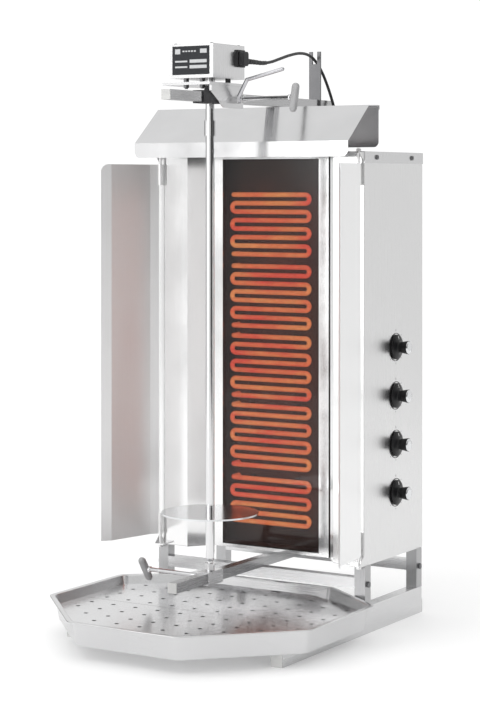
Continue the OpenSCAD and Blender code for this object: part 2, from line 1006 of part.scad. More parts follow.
module motor_lead() {
    color([0.08, 0.08, 0.08]) at_front()
        swept(smooth(lead_route, lead_steps), lead_d / 2, lead_sides, [0, 1, 0], [0, 0, -1], [1, 0, 0]);
}

// Clamp screw along X with a bar handle near its outer end, drawn from the tip
module clamp_screw(l, turn) {
    x_rod([0, 0, 0], screw_r, l);
    translate([l - 8, 0, 0]) rotate([turn, 0, 0]) bar_handle();
}

module upper_clamp() {
    tip = upper_arm_x + arm_w / 2 + slip;
    color("gray") at_front() translate([tip, clamp_y, clamp_z])
        clamp_screw(clamp_end_x - tip, -upper_handle_turn);
}

module release_lever() {
    hub_l = 10;
    p = [for (q = lever_path) [q[0], lever_y, q[1]]];
    color("silver") at_front() {
        difference() {
            union() {
                y_rod(p[0] - [0, hub_l / 2, 0], 5, hub_l);
                strut(p[0], p[1], lever_r);
            }
            y_rod(p[0] - [0, hub_l, 0], 2.5 + slip, 2 * hub_l);
        }
        translate(p[1]) sphere(r = lever_r + 0.2);
        strut(p[1], p[2], lever_r);
        translate(p[2]) sphere(r = lever_r + 0.2);
    }
}

// ---------- lower carriage ----------

// Sleeve on the lower arm with the cup that the spit stands in
module lower_carriage() {
    half = arm_w / 2 + slip;
    y0 = -spit_reach - lower_sleeve_d / 2;
    wall = cup_z - lower_arm_z - arm_w - slip;
    color("dimgray") at_front()
        difference() {
            union() {
                y_tube(
                    [-half - wall, y0, lower_arm_z - slip - wall],
                    [half + wall, y0 + lower_sleeve_d, cup_z],
                    wall
                );
                translate([0, -spit_reach, cup_z - 1]) cylinder(r = 8, h = cup_top - cup_z);
                translate([0, -spit_reach, cup_top - 3]) cylinder(r = 10.5, h = 3);
                x_rod([-half - wall - 6, -spit_reach, lower_clamp_z], 7, 7);
            }
            translate([0, -spit_reach, cup_floor]) cylinder(r = foot_r + slip, h = cup_top);
            x_rod([-half - wall - 7, -spit_reach, lower_clamp_z], screw_r + slip, wall + 8);
        }
}

module lower_clamp() {
    tip = arm_w / 2 + slip;
    color("gray") at_front() translate([0, -spit_reach, lower_clamp_z]) mirror([1, 0, 0])
        translate([tip, 0, 0]) clamp_screw(lower_clamp_end - tip, lower_handle_turn);
}

// ---------- spit ----------

module spit_rod() {
    taper_z = cup_top + 3;
    taper_h = 6;
    color("silver") at_front() translate([0, -spit_reach, 0])
        difference() {
            union() {
                translate([0, 0, spit_foot]) cylinder(r = foot_r, h = taper_z - spit_foot + 1);
                translate([0, 0, taper_z]) cylinder(r1 = foot_r, r2 = spit_r, h = taper_h);
                translate([0, 0, taper_z + taper_h])
                    cylinder(r = spit_r, h = coupling_z0 - taper_z - taper_h + 1);
                translate([0, 0, coupling_z0]) cylinder(r = coupling_r, h = coupling_z1 - coupling_z0);
            }
            translate([0, 0, coupling_z1 - 18]) cylinder(r = spigot_r + slip, h = 19);
            x_rod([-coupling_r, 0, 880], 3, 2 * coupling_r);
        }
}

module drive_shaft() {
    color("silver") at_front() translate([0, -spit_reach, 0]) {
        translate([0, 0, coupling_z1 - 17]) cylinder(r = spigot_r, h = 18);
        translate([0, 0, coupling_z1]) cylinder(r = spit_r, h = motor_z0 + 12 - coupling_z1);
    }
}

module meat_disc() {
    disc_t = 3;
    color("gainsboro") at_front() translate([0, -spit_reach, disc_top - disc_t])
        difference() {
            union() {
                cylinder(r = disc_d / 2, h = disc_t);
                translate([0, 0, -12]) cylinder(r = 15, h = 13);
            }
            translate([0, 0, -13]) cylinder(r = spit_r + slip, h = 20);
        }
}

// ---------- wings ----------

// A wing drawn on the right: its angle is counted from straight ahead, outwards
module wing(turn) {
    bend = turn + wing_bend;
    strip = wing_strip * [sin(bend), -cos(bend)];
    axis = [hinge_x, hinge_y];
    knee = axis + strip;
    edge = knee + wing_w * [sin(turn), -cos(turn)];
    path = [axis + strip / 8, knee, edge, edge + strip];
    cut = 14;
    top_pin = cab_top + 6;
    bottom_pin = cab_z - 2;
    difference() {
        translate([0, 0, wing_z0]) linear_extrude(wing_z1 - wing_z0) polygon(thickened(path, wing_t));
        // Rounded top corner of the outer flange
        translate([edge[0], edge[1], wing_z1]) rotate([0, 0, bend - 90])
            difference() {
                block([wing_strip - cut, -5, -cut], [wing_strip + 5, 5, 5]);
                y_rod([wing_strip - cut, -6, -cut], cut, 12);
            }
    }
    for (z = [wing_z0, wing_z1 - barrel_h])
        translate([hinge_x, hinge_y, z]) cylinder(r = barrel_r, h = barrel_h);
    translate([hinge_x, hinge_y, wing_z1 - 5]) cylinder(r = hinge_pin_r, h = top_pin - wing_z1 + 5);
    translate([hinge_x, hinge_y, bottom_pin]) cylinder(r = hinge_pin_r, h = wing_z0 - bottom_pin + 5);
    translate([hinge_x, hinge_y, cab_top + 0.5]) hex(5, 4);
    translate([hinge_x, hinge_y, cab_z - 4]) hex(5, 4);
}

module left_wing() {
    color("gainsboro") at_front() mirror([1, 0, 0]) wing(left_wing_turn);
}

module right_wing() {
    color("gainsboro") at_front() wing(right_wing_turn);
}

// ---------- drip tray ----------

module tray_plan(inset) {
    offset(delta = -inset) polygon(tray_outline);
}

// Solid with sloping walls between two heights
module tapered(bottom_inset, z0, top_inset, z1) {
    hull() {
        translate([0, 0, z0]) linear_extrude(skin) tray_plan(bottom_inset);
        translate([0, 0, z1 - skin]) linear_extrude(skin) tray_plan(top_inset);
    }
}

module drip_tray() {
    wall_top = rim_w;
    wall_foot = rim_w + tray_draft;
    color("gainsboro") at_front()
        difference() {
            union() {
                tapered(wall_foot, skid_h, wall_top, tray_z1);
                translate([0, 0, tray_z1 - 1.6]) linear_extrude(1.6) tray_plan(0);
            }
            tapered(wall_foot + tray_t, tray_floor, wall_top + tray_t, tray_z1 + 1);
        }
}

// Half width of the tray's outline at a given depth
function tray_half_at(y) =
    y < tray_side_front
        ? tray_front_half + (y + tray_reach) * (tray_half - tray_front_half) / (tray_side_front + tray_reach)
    : y > tray_side_back
        ? tray_half - (y - tray_side_back) * (tray_half - tray_back_half) / (tray_back_y - tray_side_back)
    : tray_half;

// A loose cover plate in the tray between two depths, with folded edges that stand on the floor
module grid_plan(y0, y1, corner_cut) {
    back = tray_back_y - grid_inset;
    intersection() {
        tray_plan(grid_inset);
        translate([-tray_half, y0]) square([2 * tray_half, y1 - y0]);
        polygon([
            [-tray_half, -tray_reach], [tray_half, -tray_reach],
            [tray_half, back - corner_cut - 60], [tray_back_half - corner_cut, back + 1],
            [-tray_back_half + corner_cut, back + 1], [-tray_half, back - corner_cut - 60]
        ]);
    }
}

module drain_grid(y0, y1, corner_cut, first_row, rows, skip) {
    difference() {
        translate([0, 0, grid_top - grid_t]) linear_extrude(grid_t) grid_plan(y0, y1, corner_cut);
        for (row = [0 : rows - 1], column = [0 : drain_columns - 1]) {
            x = (column - (drain_columns - 1) / 2) * drain_pitch_x;
            y = first_row + row * drain_pitch_y;
            if (abs(x) < tray_half_at(y) - grid_inset - 14 && [row, column] != skip)
                translate([x, y, grid_top - grid_t - 1]) cylinder(r = drain_d / 2, h = grid_t + 2);
        }
    }
    translate([0, 0, tray_floor]) linear_extrude(grid_top - grid_t - tray_floor)
        difference() {
            grid_plan(y0, y1, corner_cut);
            offset(delta = -grid_t) grid_plan(y0, y1, corner_cut);
        }
}

module front_grid() {
    color("silver") at_front()
        drain_grid(
            -tray_reach, grid_seam_y - grid_gap / 2, 0,
            front_row_y, front_rows, [-1, -1]
        );
}

module rear_grid() {
    last = rear_rows - 1;
    middle = drain_columns / 2;
    hole_y = rear_row_y + last * drain_pitch_y;
    color("silver") at_front()
        difference() {
            drain_grid(
                grid_seam_y + grid_gap / 2, tray_back_y, grid_corner_cut,
                rear_row_y, rear_rows, [last, middle]
            );
            translate([drain_pitch_x / 2, hole_y - 4, grid_top - grid_t - 1]) linear_extrude(grid_t + 2)
                hull() both_sides()
                    translate([(finger_hole[0] - finger_hole[1]) / 2, 0]) circle(d = finger_hole[1]);
        }
}

skids();
rails();
legs();
crossbars();
end_plugs();
frame_bolts();
bottom_plate();
left_side_panel();
right_side_panel();
left_column();
right_column();
back_panel();
top_cover();
cover_screws();
cable_glands();
glass_frame();
ceramic_glass();
reflector_pan();
insulation();
element_clips();
heating_element_1();
heating_element_2();
heating_element_3();
heating_element_4();
heating_element_5();
terminal_block();
regulators();
knob_1();
knob_2();
knob_3();
knob_4();
hood();
hood_back();
upper_arm();
lower_arm();
mast();
carriage_sleeve();
carriage_plate();
shaft_bearing();
motor_screws();
motor_housing();
motor_lid();
gear_motor();
label_plate();
power_inlet();
motor_plug();
motor_lead();
upper_clamp();
release_lever();
lower_carriage();
lower_clamp();
spit_rod();
drive_shaft();
meat_disc();
left_wing();
right_wing();
drip_tray();
front_grid();
rear_grid();
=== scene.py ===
"""Looks of the vertical rotisserie broiler: camera, light, materials and the fine pieces."""

import math

import bmesh
import bpy
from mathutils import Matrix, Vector


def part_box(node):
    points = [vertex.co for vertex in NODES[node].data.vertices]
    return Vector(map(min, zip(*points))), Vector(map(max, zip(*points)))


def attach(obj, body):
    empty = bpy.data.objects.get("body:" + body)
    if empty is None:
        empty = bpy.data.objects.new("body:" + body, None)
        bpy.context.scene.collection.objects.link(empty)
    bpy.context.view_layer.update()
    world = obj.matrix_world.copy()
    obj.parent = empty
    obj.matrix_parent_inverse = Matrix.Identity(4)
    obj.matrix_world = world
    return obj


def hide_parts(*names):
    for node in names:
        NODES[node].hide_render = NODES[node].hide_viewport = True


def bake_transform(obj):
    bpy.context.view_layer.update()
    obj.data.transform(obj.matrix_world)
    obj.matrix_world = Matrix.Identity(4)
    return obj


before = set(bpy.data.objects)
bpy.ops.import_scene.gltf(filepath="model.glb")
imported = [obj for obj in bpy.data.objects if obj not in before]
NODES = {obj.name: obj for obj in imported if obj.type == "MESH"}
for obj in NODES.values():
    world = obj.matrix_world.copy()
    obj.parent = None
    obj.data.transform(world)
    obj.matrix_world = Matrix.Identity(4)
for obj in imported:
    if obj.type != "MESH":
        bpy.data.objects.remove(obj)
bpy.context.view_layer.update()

# The cabinet's front face lies this far behind the origin, as in the CAD
FRONT_Y = 0.108


# ---------- camera ----------

CAMERA_SPOT = (1.9406, -3.1035, 0.8171)
CAMERA_YAW = math.radians(31.68)
CAMERA_LENS = 101.4
CAMERA_SHIFT = -0.238
VIEW_DEPTH = 60


def make_camera():
    data = bpy.data.cameras.new("camera")
    data.lens = CAMERA_LENS
    data.sensor_width = 36
    data.shift_y = CAMERA_SHIFT
    data.clip_end = VIEW_DEPTH
    camera = bpy.data.objects.new("camera", data)
    camera.location = CAMERA_SPOT
    camera.rotation_euler = (math.pi / 2, 0, CAMERA_YAW)
    bpy.context.scene.collection.objects.link(camera)
    bpy.context.scene.camera = camera


make_camera()


# ---------- mesh helpers ----------


def add_object(name, mesh, materials):
    piece = bpy.data.objects.new(name, mesh)
    bpy.context.scene.collection.objects.link(piece)
    for material in materials:
        mesh.materials.append(material)
    return piece


def mesh_from(name, points, faces, face_materials=None, smooth=True):
    mesh = bpy.data.meshes.new(name)
    mesh.from_pydata([tuple(p) for p in points], [], faces)
    for i, polygon in enumerate(mesh.polygons):
        polygon.use_smooth = smooth
        if face_materials:
            polygon.material_index = face_materials[i]
    mesh.update()
    return mesh


def bridge(first, second, count, closed=True):
    """Quads between two rings of count points that start at the given indices."""
    last = count if closed else count - 1
    return [
        (first + k, first + (k + 1) % count, second + (k + 1) % count, second + k)
        for k in range(last)
    ]


def skin_faces(rings, count):
    """Faces of a closed skin over rings of count points each, with a cap at both ends."""
    faces = []
    for i in range(rings - 1):
        faces += bridge(i * count, (i + 1) * count, count)
    faces.append(tuple(range(count - 1, -1, -1)))
    faces.append(tuple((rings - 1) * count + k for k in range(count)))
    return faces


def on_curve(points, i, t):
    """A point of a smooth line through the given points."""
    a = points[max(i - 1, 0)]
    b = points[i]
    c = points[i + 1]
    d = points[min(i + 2, len(points) - 1)]
    return 0.5 * (
        2 * b
        + (c - a) * t
        + (2 * a - 5 * b + 4 * c - d) * t * t
        + (3 * b - a - 3 * c + d) * t * t * t
    )


def smooth_line(points, steps):
    points = [Vector(p) for p in points]
    line = [
        on_curve(points, i, s / steps)
        for i in range(len(points) - 1)
        for s in range(steps)
    ]
    return line + [points[-1]]


def tube(name, line, radii, sides, materials):
    """A closed round tube along a line, with one radius for each of its points."""
    points = []
    up = Vector((0.02, 0.03, 1)).normalized()
    for i, centre in enumerate(line):
        along = (line[min(i + 1, len(line) - 1)] - line[max(i - 1, 0)]).normalized()
        up = (up - up.dot(along) * along).normalized()
        side = along.cross(up)
        for k in range(sides):
            turn = 2 * math.pi * k / sides
            points.append(centre + radii[i] * (math.cos(turn) * up + math.sin(turn) * side))
    return add_object(name, mesh_from(name, points, skin_faces(len(line), sides)), materials)


def lathe(name, profile, sides, origin, axis, materials, bands=None, ring=False):
    """A turned solid: profile holds (radius, distance along the axis) pairs, closed for a ring."""
    along = Vector(axis)
    side = along.orthogonal().normalized()
    other = along.cross(side)
    points = []
    for radius, distance in profile:
        for k in range(sides):
            turn = 2 * math.pi * k / sides
            spoke = math.cos(turn) * side + math.sin(turn) * other
            points.append(Vector(origin) + distance * along + radius * spoke)
    bands = bands or [0] * (len(profile) - 1)
    faces = skin_faces(len(profile), sides)
    slots = [band for band in bands for _ in range(sides)] + [bands[0], bands[-1]]
    if ring:
        faces = faces[:-2] + bridge((len(profile) - 1) * sides, 0, sides)
        slots = slots[:-2] + [bands[-1]] * sides
    return add_object(name, mesh_from(name, points, faces, slots), materials)


def slab(points, low, high, along=(0, 0, 1), origin=(0, 0, 0)):
    """Points and faces of a flat outline made into a thin solid."""
    count = len(points)
    along = Vector(along)
    origin = Vector(origin)
    bottom = [origin + Vector(p) + low * along for p in points]
    top = [origin + Vector(p) + high * along for p in points]
    faces = bridge(0, count, count)
    faces.append(tuple(range(count - 1, -1, -1)))
    faces.append(tuple(range(count, 2 * count)))
    return bottom + top, faces


def joined(name, solids, materials, slots=None, smooth=False):
    """One object from several (points, faces) solids, each with its material slot."""
    points, faces, face_slots = [], [], []
    for i, (some_points, some_faces) in enumerate(solids):
        start = len(points)
        points += some_points
        faces += [tuple(start + k for k in face) for face in some_faces]
        face_slots += [slots[i] if slots else 0] * len(some_faces)
    mesh = mesh_from(name, points, faces, face_slots, smooth)
    work = bmesh.new()
    work.from_mesh(mesh)
    bmesh.ops.recalc_face_normals(work, faces=work.faces)
    work.to_mesh(mesh)
    work.free()
    return add_object(name, mesh, materials)


def soften(piece, width, segments=2, angle=35):
    """Rounds a piece's sharp edges a little, so that they catch the light."""
    bevel = piece.modifiers.new("soft_edges", "BEVEL")
    bevel.width = width
    bevel.segments = segments
    bevel.limit_method = "ANGLE"
    bevel.angle_limit = math.radians(angle)
    bevel.harden_normals = True


# ---------- materials ----------


class Shader:
    """A material with short ways to add and join nodes."""

    def __init__(self, name, color, metallic=0.0, roughness=0.5):
        self.material = bpy.data.materials.new(name)
        self.material.use_nodes = True
        self.tree = self.material.node_tree
        self.body = self.tree.nodes["Principled BSDF"]
        self.body.inputs["Base Color"].default_value = (*color, 1)
        self.body.inputs["Metallic"].default_value = metallic
        self.body.inputs["Roughness"].default_value = roughness
        self.normal = None

    def node(self, kind, inputs=None, **settings):
        node = self.tree.nodes.new(kind)
        for key, value in settings.items():
            setattr(node, key, value)
        for key, value in (inputs or {}).items():
            if isinstance(value, bpy.types.NodeSocket):
                self.tree.links.new(value, node.inputs[key])
            else:
                node.inputs[key].default_value = value
        return node

    def feed(self, output, socket):
        self.tree.links.new(output, self.body.inputs[socket])

    def spot(self, scale=(1, 1, 1), turn=(0, 0, 0)):
        """The place on the object, stretched, which grain and smudges follow."""
        place = self.node("ShaderNodeTexCoord").outputs["Object"]
        return self.node(
            "ShaderNodeMapping", {"Vector": place, "Scale": scale, "Rotation": turn}
        ).outputs["Vector"]

    def noise(self, vector, scale, detail=4.0, roughness=0.55):
        return self.node(
            "ShaderNodeTexNoise",
            {"Vector": vector, "Scale": scale, "Detail": detail, "Roughness": roughness},
        ).outputs["Fac"]

    def spread(self, value, low, high, start=0.3, stop=0.7):
        """A noise value moved into the given range."""
        return self.node(
            "ShaderNodeMapRange",
            {"Value": value, "From Min": start, "From Max": stop, "To Min": low, "To Max": high},
        ).outputs["Result"]

    def blend_color(self, value, first, second, start=0.3, stop=0.7):
        ramp = self.node("ShaderNodeValToRGB", {"Fac": value})
        ramp.color_ramp.elements[0].position = start
        ramp.color_ramp.elements[0].color = (*first, 1)
        ramp.color_ramp.elements[1].position = stop
        ramp.color_ramp.elements[1].color = (*second, 1)
        return ramp.outputs["Color"]

    def bump(self, height, strength, distance):
        settings = {"Height": height, "Strength": strength, "Distance": distance}
        if self.normal:
            settings["Normal"] = self.normal
        self.normal = self.node("ShaderNodeBump", settings).outputs["Normal"]
        self.feed(self.normal, "Normal")


def brushed_steel(name, grain, tone=(0.62, 0.63, 0.64), roughness=0.24, depth=0.35, metallic=1.0):
    """Stainless sheet with a fine brushed grain and faint smudges."""
    shader = Shader(name, tone, metallic, roughness)
    fine = shader.noise(shader.spot(grain), 1.0, 3.0, 0.6)
    smudges = shader.noise(shader.spot(), 6.0, 3.0)
    pale = tuple(min(1.0, c * 1.015) for c in tone)
    dull = tuple(c * 0.97 for c in tone)
    shader.feed(shader.blend_color(fine, dull, pale), "Base Color")
    base = shader.spread(fine, roughness - 0.04, roughness + 0.05)
    wiped = shader.spread(smudges, -0.02, 0.03)
    total = shader.node("ShaderNodeMath", {0: base, 1: wiped}, operation="ADD").outputs[0]
    shader.feed(total, "Roughness")
    shader.bump(fine, depth, 0.00002)
    return shader.material


def polished_steel(name, tone=(0.74, 0.75, 0.76), roughness=0.09):
    """Bright stainless sheet: almost a mirror, with soft waves, haze and hairlines."""
    shader = Shader(name, tone, 1.0, roughness)
    waves = shader.noise(shader.spot(), 3.5, 2.0)
    haze = shader.noise(shader.spot(), 11.0, 5.0)
    hairlines = shader.noise(shader.spot((6, 6, 900)), 1.0, 6.0, 0.8)
    shader.feed(shader.spread(haze, roughness - 0.03, roughness + 0.06), "Roughness")
    dull = tuple(c * 0.93 for c in tone)
    shader.feed(shader.blend_color(haze, dull, tone), "Base Color")
    shader.bump(waves, 0.25, 0.002)
    shader.bump(hairlines, 0.12, 0.00003)
    return shader.material


def plastic(name, color, roughness=0.35, shine=0.5):
    """Moulded plastic with a fine spark-eroded texture and slight wear."""
    shader = Shader(name, color, 0.0, roughness)
    shader.body.inputs["Specular IOR Level"].default_value = shine
    pits = shader.noise(shader.spot(), 900.0, 2.0)
    wear = shader.noise(shader.spot(), 40.0, 4.0)
    worn = tuple(min(1.0, c * 1.25 + 0.01) for c in color)
    shader.feed(shader.blend_color(wear, color, worn, 0.45, 0.8), "Base Color")
    shader.feed(shader.spread(wear, roughness - 0.06, roughness + 0.1), "Roughness")
    shader.bump(pits, 0.2, 0.00005)
    return shader.material


def rubber(name, color=(0.018, 0.018, 0.02)):
    shader = Shader(name, color, 0.0, 0.55)
    bloom = shader.noise(shader.spot(), 160.0, 5.0)
    dust = tuple(c + 0.02 for c in color)
    shader.feed(shader.blend_color(bloom, color, dust, 0.4, 0.75), "Base Color")
    shader.feed(shader.spread(bloom, 0.45, 0.68), "Roughness")
    shader.bump(bloom, 0.15, 0.0001)
    return shader.material


def dark_finish_and_shade(name):
    """Dark satin: painted shade on the steel carriage sleeve, the shaft bearing and the screw
    recesses, and the gear motor's own dark finish; lighter in random blotches.
    """
    shader = Shader(name, (0.03, 0.031, 0.034), 0.3, 0.42)
    blotches = shader.noise(shader.spot(), 90.0, 6.0)
    shader.feed(
        shader.blend_color(blotches, (0.022, 0.022, 0.025), (0.075, 0.075, 0.08), 0.45, 0.85),
        "Base Color",
    )
    shader.feed(shader.spread(blotches, 0.34, 0.52), "Roughness")
    shader.bump(blotches, 0.2, 0.0001)
    return shader.material


def turned_steel(name, centre):
    """Bright steel with fine rings from turning or buffing about an upright axis."""
    shader = Shader(name, (0.72, 0.73, 0.74), 1.0, 0.13)
    moved = shader.node(
        "ShaderNodeVectorMath",
        {0: shader.spot(), 1: (-centre[0], -centre[1], 0)},
        operation="ADD",
    ).outputs[0]
    flat = shader.node(
        "ShaderNodeVectorMath", {0: moved, 1: (1, 1, 0)}, operation="MULTIPLY"
    ).outputs[0]
    reach = shader.node("ShaderNodeVectorMath", {0: flat}, operation="LENGTH").outputs["Value"]
    rings = shader.node(
        "ShaderNodeTexNoise",
        {"W": reach, "Scale": 900.0, "Detail": 4.0},
        noise_dimensions="1D",
    ).outputs["Fac"]
    shader.feed(shader.spread(rings, 0.08, 0.22), "Roughness")
    shader.bump(rings, 0.2, 0.00004)
    return shader.material


def glowing_tube(name):
    """A sheathed heating tube: brightest along its crown, with hotter and duller stretches."""
    shader = Shader(name, (0.10, 0.03, 0.02), 0.0, 0.6)
    patches = shader.noise(shader.spot((9, 9, 26)), 1.0, 3.0)
    scale_marks = shader.noise(shader.spot((90, 90, 260)), 1.0, 4.0)
    facing = shader.node("ShaderNodeLayerWeight", {"Blend": 0.4}).outputs["Facing"]
    warm = shader.blend_color(patches, (0.95, 0.10, 0.055), (1.0, 0.36, 0.11), 0.35, 0.70)
    speckled = shader.blend_color(scale_marks, (0.72, 0.72, 0.72), (1.0, 1.0, 1.0), 0.3, 0.7)
    mixed = shader.node(
        "ShaderNodeMix",
        {6: warm, 7: speckled, 0: 1.0},
        data_type="RGBA",
        blend_type="MULTIPLY",
    ).outputs[2]
    shader.feed(mixed, "Emission Color")
    shader.feed(shader.spread(facing, 1.6, 0.65, 0.05, 0.95), "Emission Strength")
    shader.bump(scale_marks, 0.3, 0.0002)
    return shader.material


def smoked_glass(name):
    """Black ceramic glass: dark, see-through where something glows behind it, and glossy."""
    shader = Shader(name, (0.006, 0.006, 0.007), 0.0, 0.03)
    shader.body.inputs["Alpha"].default_value = 0.35
    film = shader.noise(shader.spot(), 7.0, 4.0)
    shader.feed(shader.spread(film, 0.02, 0.06), "Roughness")
    shader.body.inputs["IOR"].default_value = 1.65
    shader.material.blend_method = "BLEND"
    return shader.material


def scorched_metal(name):
    """The reflector pan: steel tinted by heat."""
    shader = Shader(name, (0.09, 0.06, 0.05), 0.2, 0.6)
    heat = shader.noise(shader.spot(), 14.0, 5.0)
    shader.feed(
        shader.blend_color(heat, (0.07, 0.045, 0.04), (0.15, 0.095, 0.075)), "Base Color"
    )
    shader.feed(shader.spread(heat, 0.5, 0.75), "Roughness")
    return shader.material


def fibre_board(name):
    shader = Shader(name, (0.62, 0.58, 0.5), 0.0, 0.95)
    fibres = shader.noise(shader.spot((300, 300, 60)), 1.0, 6.0)
    shader.feed(shader.blend_color(fibres, (0.5, 0.46, 0.38), (0.7, 0.66, 0.58)), "Base Color")
    shader.bump(fibres, 0.6, 0.001)
    return shader.material


def printed(name, color, roughness=0.4):
    """Ink or foil: flat tone broken by faint print grain."""
    shader = Shader(name, color, 0.0, roughness)
    shader.body.inputs["Specular IOR Level"].default_value = 0.25
    grain = shader.noise(shader.spot(), 500.0, 3.0)
    faded = tuple(min(1.0, c * 0.85 + 0.02) for c in color)
    shader.feed(shader.blend_color(grain, color, faded, 0.4, 0.8), "Base Color")
    shader.feed(shader.spread(grain, roughness - 0.05, roughness + 0.08), "Roughness")
    return shader.material


UPRIGHT_GRAIN = (1600, 1600, 12)
ACROSS_GRAIN = (12, 1600, 1600)
DEEP_GRAIN = (1600, 12, 1600)
SPIT_XY = (0.0, -0.062)

STEEL_UP = brushed_steel("brushed_upright", UPRIGHT_GRAIN, (0.68, 0.68, 0.685), 0.24, 0.1)
STEEL_ACROSS = brushed_steel("brushed_across", ACROSS_GRAIN, (0.64, 0.64, 0.645), 0.24, 0.1)
STEEL_DEEP = brushed_steel("brushed_front_to_back", DEEP_GRAIN, (0.66, 0.66, 0.665), 0.24, 0.1)
STEEL_PANEL = brushed_steel("brushed_panel", UPRIGHT_GRAIN, (0.74, 0.74, 0.74), 0.3, 0.04)
STEEL_WING = brushed_steel("brushed_wing", UPRIGHT_GRAIN, (0.95, 0.95, 0.95), 0.36, 0.03, 0.6)
STEEL_MAST = brushed_steel("mast_steel", UPRIGHT_GRAIN, (0.17, 0.17, 0.175), 0.35, 0.3)
STEEL_LEG = brushed_steel("leg_steel", UPRIGHT_GRAIN, (0.43, 0.43, 0.435), 0.3, 0.3)
STEEL_ARM = brushed_steel("arm_steel", DEEP_GRAIN, (0.46, 0.46, 0.465), 0.25, 0.12)
STEEL_LOWER_ARM = brushed_steel("lower_arm_steel", DEEP_GRAIN, (0.4, 0.4, 0.405), 0.25, 0.1)
SCREW = brushed_steel("screw_steel", (200, 200, 200), (0.16, 0.16, 0.165), 0.28, 0.3)
STEEL_TRAY = brushed_steel("tray_steel", ACROSS_GRAIN, (0.69, 0.69, 0.695), 0.22, 0.2)
STEEL_GRID = brushed_steel("grid_steel", ACROSS_GRAIN, (0.76, 0.76, 0.765), 0.2, 0.2)
MIRROR = polished_steel("polished_sheet", (0.9, 0.9, 0.9), 0.12)
MIRROR_HOOD = polished_steel("polished_hood", (0.74, 0.74, 0.745), 0.14)
# Painted shade: a darker copy of the hood's polished steel for the hood's back, which lies in
# shade.
MIRROR_SHADED_BACK = polished_steel("hood_back_painted_shade", (0.45, 0.45, 0.455), 0.16)
TURNED = turned_steel("turned_disc", SPIT_XY)
ROD_STEEL = brushed_steel("drawn_rod", (900, 900, 9), (0.76, 0.76, 0.765), 0.12, 0.08)
ROD_BRIGHT = brushed_steel("bright_rod", (9, 900, 900), (0.8, 0.8, 0.81), 0.14, 0.08)
ZINC = brushed_steel("zinc_screws", (200, 200, 200), (0.58, 0.58, 0.6), 0.3, 0.3)
# Painted shade: this dark satin stands for the shadow on the steel carriage sleeve and shaft
# bearing and in the screw recesses; the gear motor wears it as its own colour.
DARK_AND_SHADE = dark_finish_and_shade("dark_finish_and_painted_shade")
BLACK = plastic("black_knob_plastic", (0.010, 0.010, 0.011), 0.3, 0.22)
BLACK_NYLON = plastic("black_nylon", (0.02, 0.02, 0.021), 0.45)
WHITE = plastic("white_plug_plastic", (0.6, 0.6, 0.59), 0.5)
GREY = plastic("grey_handle_plastic", (0.38, 0.38, 0.385), 0.5)
RUBBER = rubber("black_rubber")
GLOW = glowing_tube("glowing_tube")
GLASS = smoked_glass("smoked_ceramic_glass")
PAN = scorched_metal("scorched_pan")
BOARD = fibre_board("fibre_board")
CHROME_CAP = turned_steel("knob_cap", (0, 0))
LABEL = printed("label_ground", (0.022, 0.024, 0.028), 0.5)
LABEL_PALE = printed("label_pale", (0.62, 0.63, 0.64))
INK = printed("scale_ink", (0.12, 0.12, 0.13))
POINTER = printed("pointer_white", (0.85, 0.85, 0.84))

NODE_LOOKS = {
    "skids": (STEEL_DEEP, 0.0006),
    "rails": (STEEL_DEEP, 0.0006),
    "legs": (STEEL_LEG, 0.0006),
    "crossbars": (STEEL_ACROSS, 0.0006),
    "end_plugs": (WHITE, 0.0008),
    "frame_bolts": (SCREW, 0.0004),
    "bottom_plate": (STEEL_ACROSS, 0.0003),
    "left_side_panel": (STEEL_PANEL, 0.0003),
    "right_side_panel": (STEEL_PANEL, 0.0003),
    "left_column": (MIRROR, 0.0003),
    "right_column": (MIRROR, 0.0003),
    "back_panel": (STEEL_PANEL, 0.0002),
    "top_cover": (STEEL_ACROSS, 0.0004),
    "cover_screws": (SCREW, 0.0006),
    "cable_glands": (BLACK_NYLON, 0.0005),
    "glass_frame": (MIRROR, 0.0003),
    "ceramic_glass": (GLASS, 0.0004),
    "reflector_pan": (PAN, 0.0003),
    "insulation": (BOARD, 0.001),
    "element_clips": (PAN, 0.0002),
    "terminal_block": (WHITE, 0.0008),
    "regulators": (GREY, 0.0008),
    "hood": (MIRROR_HOOD, 0.0004),
    "hood_back": (MIRROR_SHADED_BACK, 0.0004),
    "upper_arm": (STEEL_ARM, 0.0006),
    "lower_arm": (STEEL_LOWER_ARM, 0.0006),
    "mast": (STEEL_MAST, 0.0004),
    # Painted shade: the carriage sleeve and the shaft bearing are steel, drawn dark for the shade
    # they lie in.
    "carriage_sleeve": (DARK_AND_SHADE, 0.0006),
    "carriage_plate": (STEEL_ACROSS, 0.0004),
    "shaft_bearing": (DARK_AND_SHADE, 0.0005),
    "motor_screws": (SCREW, 0.0003),
    "motor_housing": (STEEL_UP, 0.0005),
    "motor_lid": (STEEL_ACROSS, 0.0005),
    "gear_motor": (DARK_AND_SHADE, 0.001),
    "label_plate": (LABEL, 0.0002),
    "power_inlet": (BLACK_NYLON, 0.0008),
    "release_lever": (ZINC, 0.0004),
    "lower_carriage": (STEEL_DEEP, 0.0006),
    "spit_rod": (ROD_STEEL, 0.0006),
    "drive_shaft": (ROD_STEEL, 0.0006),
    "meat_disc": (TURNED, 0.0008),
    "left_wing": (STEEL_WING, 0.0003),
    "right_wing": (STEEL_WING, 0.0003),
    "front_grid": (STEEL_GRID, 0.0005),
    "rear_grid": (STEEL_GRID, 0.0005),
}


def dress_nodes():
    """Gives every CAD node that shows its own material and softened edges."""
    for name, (material, width) in NODE_LOOKS.items():
        node = NODES[name]
        node.data.materials.clear()
        node.data.materials.append(material)
        soften(node, width)


# ---------- motor lead ----------

